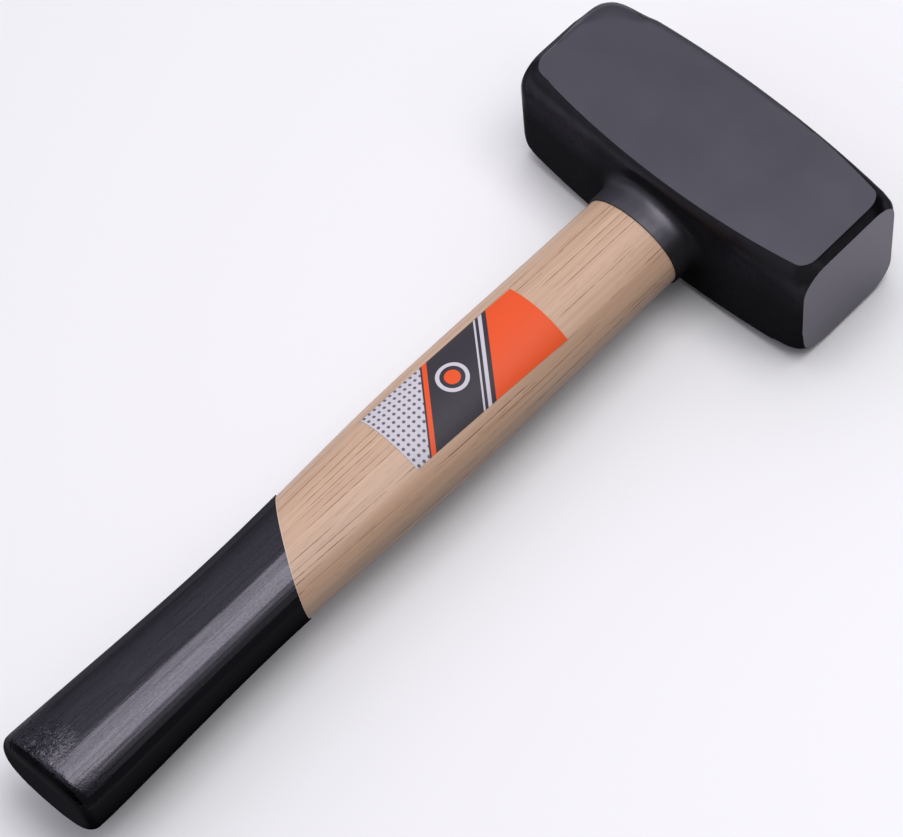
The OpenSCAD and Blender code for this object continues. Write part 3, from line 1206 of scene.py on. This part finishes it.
@dataclass
class Head:
    """The forged head with its collar, ground cheeks and striking faces."""

    voxel: float = 0.5 * MM
    stock: float = 1.5 * MM
    worn_stock: float = 0.10 * MM
    bevel_slope: float = 0.7
    eye_half: Span = (18.0 * MM, 14.0 * MM)
    sharp: float = 25.0
    smooth_share: float = 0.5
    soft_passes: int = 4
    collar_hollow: WornZone = WornZone((-25, -29, -19), (25, -18, 19), 20)
    rear_end: WornZone = WornZone((-60, -30, -30), (-44, 30, 30), 10)
    far_side: WornZone = WornZone((-60, 8, -30), (15, 30, 30), 10)
    far_corner: WornZone = WornZone((-60, 4, -30), (-38, 30, 30), 220)
    near_corner: WornZone = WornZone((-60, -30, -30), (-46, -8, 30), 8)
    low_corner: WornZone = WornZone((44, -30, -30), (60, -8, -6), 160)
    soft_rear: WornZone = WornZone((-54.5, -6, -30), (-42, 30, 30), 14)
    soft_far: WornZone = WornZone((-54.5, 8, -30), (10, 30, 30), 8)
    soft_end: WornZone = WornZone((-54.5, 8, -30), (24, 30, 30), 6)
    finish: ForgedSteel = field(default_factory=ForgedSteel)
    piece: Workpiece = field(init=False)

    def build(self, handle: Workpiece) -> None:
        """Soften the forging, then pierce it with the handle's own shape.

        Args:
            handle: The handle before its kerf is cut.
        """
        self.piece = Workpiece.copy_of(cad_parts["head"], "forged_head")
        self.close_eye()
        self.leave_stock()
        self.piece.modify("REMESH", mode="VOXEL", voxel_size=self.voxel, adaptivity=0.0)
        self.soften()
        self.grind()
        self.piece.carve(handle)

    def close_eye(self) -> None:
        """Take out the walls of the eye and close both its mouths."""
        def wall(middle: Vector, normal: Vector) -> bool:
            """Say whether a face is one of the eye's walls.

            Args:
                middle: Middle of the face.
                normal: Normal of the face.

            Returns:
                Whether it lies in the eye and faces its axis.
            """
            out = Vector((middle.x, 0, middle.z - AXIS.z))
            inside = abs(out.x) < self.eye_half[0] and abs(out.z) < self.eye_half[1]
            return inside and normal.dot(out.normalized()) < -0.5

        self.piece.edit()
        self.piece.pick_faces(wall)
        bpy.ops.mesh.delete(type="FACE")
        bpy.ops.mesh.select_all(action="SELECT")
        bpy.ops.mesh.fill_holes(sides=0)

    def flats(self) -> list[Flat]:
        """Find the flats on the frame's head.

        Returns:
            The striking faces, the cheeks and the rim of the collar.
        """
        low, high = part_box("head")
        along, up, slope = Vector((1, 0, 0)), Vector((0, 0, 1)), self.bevel_slope
        return [
            Flat(Ground.FACE, high, along, slope), Flat(Ground.FACE, low, -along, slope),
            Flat(Ground.CHEEK, high, up, slope), Flat(Ground.CHEEK, low, -up, slope),
            Flat(Ground.RIM, low, Vector((0, -1, 0)), 0.0)]

    def leave_stock(self) -> None:
        """Draw each flat out along its bevels, so that there is something to grind off."""
        self.piece.edit()
        for flat in self.flats():
            self.piece.pick_faces(flat.bears)
            mesh = bmesh.from_edit_mesh(self.piece.obj.data)
            places = [vertex.co.copy() for vertex in mesh.verts if vertex.select]
            low = Vector([min(place[i] for place in places) for i in range(3)])
            high = Vector([max(place[i] for place in places) for i in range(3)])
            lift = self.stock * flat.normal
            shrink = [
                1.0 if abs(flat.normal[i]) > 0.5 else 1 - 2 * flat.slope * self.stock / (high[i] - low[i])
                for i in range(3)]
            bpy.ops.mesh.extrude_region_move(TRANSFORM_OT_translate={"value": lift})
            bpy.ops.transform.resize(value=shrink, center_override=(low + high) / 2 + lift)
            if flat.kind is Ground.CHEEK:
                self.wear_edge(flat)

    def wear_edge(self, cheek: Flat) -> None:
        """Leave less stock at the edges of a cheek that are worn soft.

        Args:
            cheek: The cheek.
        """
        def worn(place: Vector) -> bool:
            """Say whether a place is on such an edge of the stock."""
            edge = self.rear_end.holds(place) or self.far_side.holds(place)
            raised = abs(cheek.height(place) - self.stock) < NEAR
            return edge and raised and not self.near_corner.holds(place)

        self.piece.pick(worn)
        bpy.ops.transform.translate(value=(self.worn_stock - self.stock) * cheek.normal)

    def soften(self) -> None:
        """Round the forged edges a little, and the hollow of the collar and the worn corners more."""
        self.piece.edit()
        bpy.ops.mesh.select_all(action="SELECT")
        bpy.ops.mesh.vertices_smooth(factor=self.smooth_share, repeat=self.soft_passes)
        for zone in (self.collar_hollow, self.rear_end, self.far_side):
            self.wear(zone)
        for corner in (self.far_corner, self.near_corner, self.low_corner):
            self.wear(corner)

    def grind(self) -> None:
        """Cut the cheeks, the striking faces and the rim of the collar flat, then wear some edges soft."""
        self.piece.edit()
        for flat in self.flats():
            cheek = flat.kind is Ground.CHEEK
            self.piece.cut(flat.point, flat.normal, clear=not cheek, close=not cheek)
            if cheek:
                self.piece.pick(lambda place, flat=flat: flat.height(place) > 0)
                bpy.ops.transform.resize(value=(1, 1, 0), center_override=flat.point)
        for zone in (self.soft_rear, self.soft_far, self.soft_end):
            self.wear(zone)

    def wear(self, zone: WornZone) -> None:
        """Smooth what lies in a zone."""
        self.piece.pick(zone.holds)
        bpy.ops.mesh.vertices_smooth(factor=self.smooth_share, repeat=zone.passes)

    def dress(self) -> None:
        """Finish the head and put it in its place."""
        self.piece.shade(self.sharp)
        self.piece.edit()
        for flat in self.flats():
            if flat.kind is not Ground.CHEEK:
                self.piece.pick_faces(flat.bears)
                bpy.ops.mesh.faces_shade_flat()
        self.piece.stand_for("head", "head_steel", self.finish.material())


@dataclass
class GripCoat:
    """The lacquer skin over the butt end, with its slanted upper edge."""

    edge: CoatEdge = CoatEdge()
    thickness: float = 0.35 * MM
    sharp: float = 50.0
    finish: GripLacquer = field(default_factory=GripLacquer)
    piece: Workpiece = field(init=False)

    def build(self, handle: Workpiece) -> None:
        """Lift the skin off the handle, cut its edge and thicken it.

        Args:
            handle: The handle before its kerf is cut.
        """
        self.piece = Workpiece.copy_of(handle.obj, "lacquered_grip")
        self.piece.edit()
        self.piece.cut(AXIS.point(self.edge.y * MM), self.edge.normal(), clear=True)
        self.piece.modify(
            "SOLIDIFY", thickness=self.thickness, offset=1.0, use_even_offset=True, use_rim=True)

    def dress(self) -> None:
        """Finish the coat and put it in its place."""
        self.piece.shade(self.sharp)
        self.piece.stand_for("grip_coat", "grip_lacquer", self.finish.material())


@dataclass
class Label:
    """The printed film on the upper side of the handle."""

    width: float = 23 * MM
    length: float = 59 * MM
    middle: Span = (0.2 * MM, -101 * MM)
    turn: float = 1.7
    thickness: float = 0.15 * MM
    mesh_step: float = 0.5 * MM
    drop: float = 5 * MM
    sharp: float = 40.0
    piece: Workpiece = field(init=False)

    def build(self, handle: Workpiece) -> None:
        """Lay a flat sheet down on the handle and give it its thickness.

        Args:
            handle: The handle that the film sticks to.
        """
        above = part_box("label")[1].z + self.drop
        Workpiece.clear_bench()
        bpy.ops.mesh.primitive_grid_add(
            x_subdivisions=round(self.width / self.mesh_step),
            y_subdivisions=round(self.length / self.mesh_step),
            size=1, calc_uvs=True, location=(*self.middle, above), rotation=(0, 0, -math.radians(self.turn)))
        bpy.context.object.scale = (self.width, self.length, 1)
        self.piece = Workpiece.added("label_film")
        self.piece.modify(
            "SHRINKWRAP", wrap_method="PROJECT", target=handle.obj, use_project_z=True,
            use_positive_direction=False, use_negative_direction=True)
        self.piece.modify("SOLIDIFY", thickness=self.thickness, offset=1.0, use_rim=True)

    def dress(self) -> None:
        """Finish the label and put it in its place."""
        film = LabelFilm(self.width / MM, self.length / MM)
        self.piece.shade(self.sharp)
        self.piece.stand_for("label", "label_film", film.material())


@dataclass(frozen=True)
class Pane:
    """One pane of a soft box: where it starts along X, its width, its radiance and how far back it hangs."""

    name: str
    start: float
    width: float
    radiance: float
    back: float = 0.0


@dataclass(frozen=True)
class SoftBox:
    """A soft box of panes side by side along X, brightest in its middle, that lean towards the hammer."""

    y: float = 0.08
    z: float = 1.15
    depth: float = 0.70
    lean: Span = (0.09, 0.18)
    lit_share: float = 0.905
    colour: Colour = (1.0, 0.985, 1.0)
    panes: tuple[Pane, ...] = (
        Pane("left_pane", -0.31, 0.33, 3.9),
        Pane("main_pane", 0.02, 0.48, 5.4),
        Pane("right_pane", 0.50, 0.25, 1.9),
        Pane("side_pane", 0.75, 0.45, 0.9, 0.15),
        Pane("far_pane", 1.20, 0.90, 0.4, 0.40))

    def hang(self) -> None:
        """Hang the panes one by one."""
        aim = Vector((-self.lean[0], -self.lean[1], -self.z)).to_track_quat("-Z", "Y")
        for pane in self.panes:
            wide = self.lit_share * pane.width
            light = bpy.data.lights.new(pane.name, "AREA")
            light.shape = "RECTANGLE"
            light.size, light.size_y = wide, self.depth
            light.energy = pane.radiance * math.pi * wide * self.depth
            light.color = self.colour
            obj = bpy.data.objects.new(pane.name, light)
            obj.location = (pane.start + pane.width / 2, self.y + pane.back, self.z)
            obj.rotation_mode = "QUATERNION"
            obj.rotation_quaternion = aim
            bpy.context.scene.collection.objects.link(obj)


@dataclass
class Studio:
    """Pale floor, soft light and the camera at the photograph's viewing angle."""

    floor_half: float = 4.0
    floor_drop: float = 0.05 * MM
    azimuth: float = 50.085
    elevation: float = 60.358
    roll: float = -7.057
    distance: float = 1053.13 * MM
    target: Triple = (1.90 * MM, -108.90 * MM, 22.5 * MM)
    focal_px: float = 3727.4
    image_w: int = 903
    sensor: float = 36.0
    room_left: Colour = (1.0, 0.985, 1.08)
    room_right: Colour = (0.10, 0.10, 0.11)
    room_middle: Span = (-0.5, 0.5)
    horizon: float = 0.40
    zenith: float = 0.70
    soft_box: SoftBox = SoftBox()
    finish: FloorPaper = field(default_factory=FloorPaper)

    def build(self) -> None:
        """Lay the floor, light it and set up the camera."""
        self.lay_floor()
        self.soft_box.hang()
        self.light_room()
        self.aim_camera()
        bpy.context.scene.view_settings.view_transform = "Standard"

    def lay_floor(self) -> None:
        """Lay the plain floor under the hammer."""
        Workpiece.clear_bench()
        bpy.ops.mesh.primitive_plane_add(size=2 * self.floor_half, location=(0, 0, -self.floor_drop))
        floor = bpy.context.object
        floor.name = "floor"
        floor.data.materials.append(self.finish.material())

    def light_room(self) -> None:
        """Let the room fill in from the left and from above."""
        world = bpy.data.worlds.new("studio_room")
        world.use_nodes = True
        bpy.context.scene.world = world
        desk = Desk(world.node_tree)
        x, _, z = desk.parts(desk.node("TexCoord").outputs["Generated"])
        room = desk.blend(x.rise(*self.room_middle), self.room_left, self.room_right)
        strength = self.horizon + self.zenith * z
        back = desk.node("Background", sockets={"Color": room, "Strength": strength})
        desk.node("OutputWorld", sockets={"Surface": back.outputs[0]})

    def aim_camera(self) -> None:
        """Set the camera where the photograph was taken from."""
        turn, lift = math.radians(self.azimuth), math.radians(self.elevation)
        back = Vector((math.sin(turn) * math.cos(lift), -math.cos(turn) * math.cos(lift), math.sin(lift)))
        data = bpy.data.cameras.new("camera")
        data.sensor_width = self.sensor
        data.lens = self.focal_px / self.image_w * self.sensor
        camera = bpy.data.objects.new("camera", data)
        camera.location = Vector(self.target) + self.distance * back
        camera.rotation_mode = "QUATERNION"
        roll = Quaternion((0, 0, 1), math.radians(self.roll))
        camera.rotation_quaternion = (-back).to_track_quat("-Z", "Y") @ roll
        bpy.context.scene.collection.objects.link(camera)
        bpy.context.scene.camera = camera


def main() -> None:
    """Build the hammer piece by piece, then the studio round it."""
    logging.basicConfig(level=logging.INFO, format="%(message)s")
    handle, wedges, head, coat, label = Handle(), Wedges(), Head(), GripCoat(), Label()
    blank = handle.build()
    coat.build(blank)
    label.build(blank)
    head.build(blank)
    handle.cut_kerf(wedges)
    wedges.build()
    for part in (head, handle, wedges, coat, label):
        part.dress()
    Studio().build()


if __name__ == "__main__":
    main()
